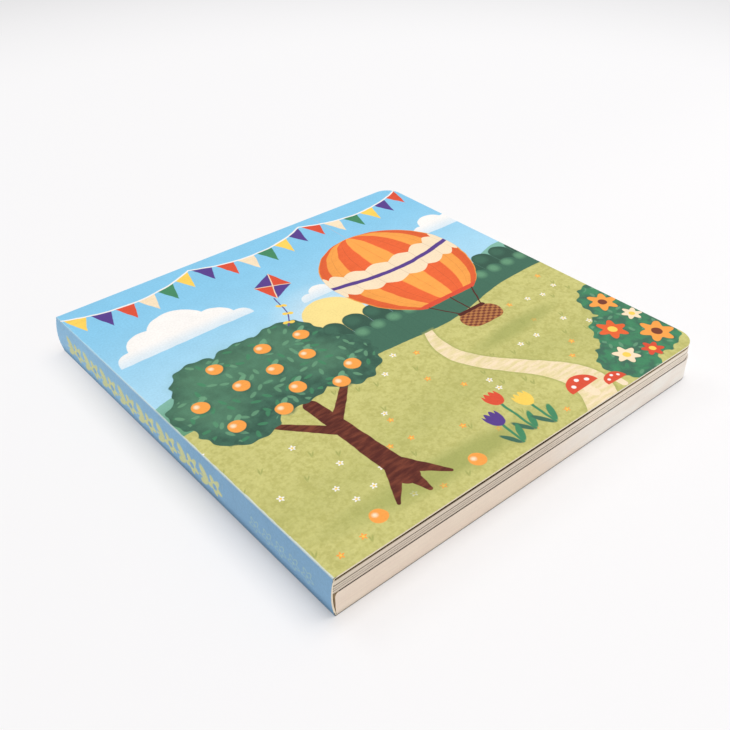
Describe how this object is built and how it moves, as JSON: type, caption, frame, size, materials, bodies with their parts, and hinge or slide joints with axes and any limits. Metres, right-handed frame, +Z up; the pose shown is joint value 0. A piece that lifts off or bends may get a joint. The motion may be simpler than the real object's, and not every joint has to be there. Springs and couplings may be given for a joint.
{
  "type": "board book",
  "caption": "Square children's board book with a folded card cover, a bound stack of board leaves and one thick base board; both covers open at the spine's creases.",
  "frame": {"origin": "on the surface that the book lies on, under the middle of the closed book", "axes": "+X from the spine to the fore edge, +Y from the tail edge to the head edge, +Z up through the front cover"},
  "size_m": [0.181, 0.18, 0.0168],
  "materials": {
    "printed_cover": "satin print on white card",
    "leaf_board": "matt cut board",
    "solid_board": "matt cut board"
  },
  "bodies": {
    "book_block": {"board_leaves": "leaf_board", "base_board": "solid_board", "spine": "printed_cover"},
    "front_cover": {"front_cover": "printed_cover"},
    "back_cover": {"back_cover": "printed_cover"}
  },
  "joints": [
    {"name": "front_cover_hinge", "type": "hinge", "parent": "book_block", "child": "front_cover", "pos_m": [-0.0892, 0, 0.0163], "axis": [0, -1, 0], "range_deg": [0, 180]},
    {"name": "back_cover_hinge", "type": "hinge", "parent": "book_block", "child": "back_cover", "pos_m": [-0.0892, 0, 0.0003], "axis": [0, 1, 0], "range_deg": [0, 180]}
  ]
}
